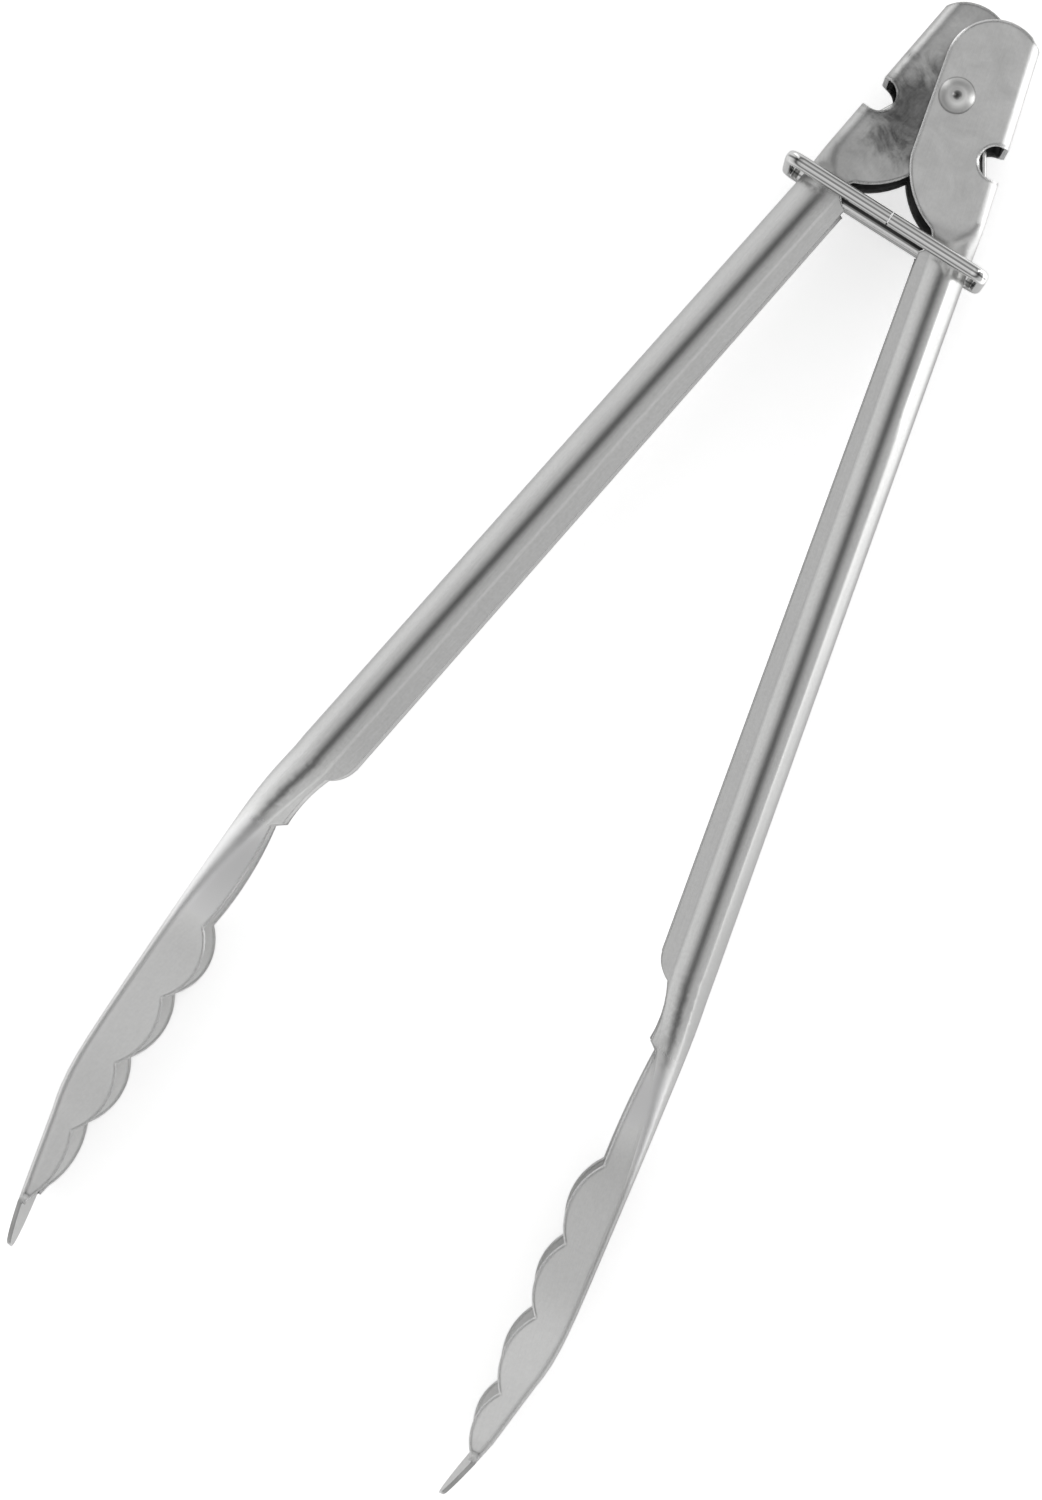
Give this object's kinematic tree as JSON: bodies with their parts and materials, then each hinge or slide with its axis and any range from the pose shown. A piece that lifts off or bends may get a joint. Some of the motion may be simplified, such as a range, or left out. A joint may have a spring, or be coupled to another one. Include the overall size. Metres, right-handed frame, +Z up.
{
  "type": "spring loaded kitchen tongs",
  "caption": "Scalloped kitchen tongs: channel-section steel arms on a riveted, spring-opened hinge, with a sliding lock ring round both arms.",
  "frame": {"origin": "centre of the tongs' outline on the surface they lie on, as they lie open on their side", "axes": "+Z up, along the pivot; -Y from the hinge towards the jaws, along the middle line between the open arms; +X towards the arm whose cheeks are outside"},
  "size_m": [0.1088, 0.3018, 0.0368],
  "materials": {
    "arm_steel": "pressed stainless sheet, satin",
    "rivet_steel": "tumbled, bright",
    "spring_wire": "drawn spring wire",
    "ring_steel": "polished strip"
  },
  "bodies": {
    "outer": {"outer_arm": "arm_steel", "pivot_rivet": "rivet_steel", "torsion_spring": "spring_wire"},
    "inner": {"inner_arm": "arm_steel"},
    "ring": {"lock_ring": "ring_steel"}
  },
  "joints": [
    {"name": "arm_hinge", "type": "hinge", "parent": "outer", "child": "inner", "pos_m": [0.00032, 0.13322, 0.01841], "axis": [0, 0, 1], "range_deg": [0, 19], "stiffness_Nm_per_rad": 1.2, "springref_deg": -22.92, "deforming": ["torsion_spring"]},
    {"name": "ring_slide", "type": "slide", "parent": "outer", "child": "ring", "axis": [0, 1, 0], "range_m": [-0.002, 0.021]}
  ]
}
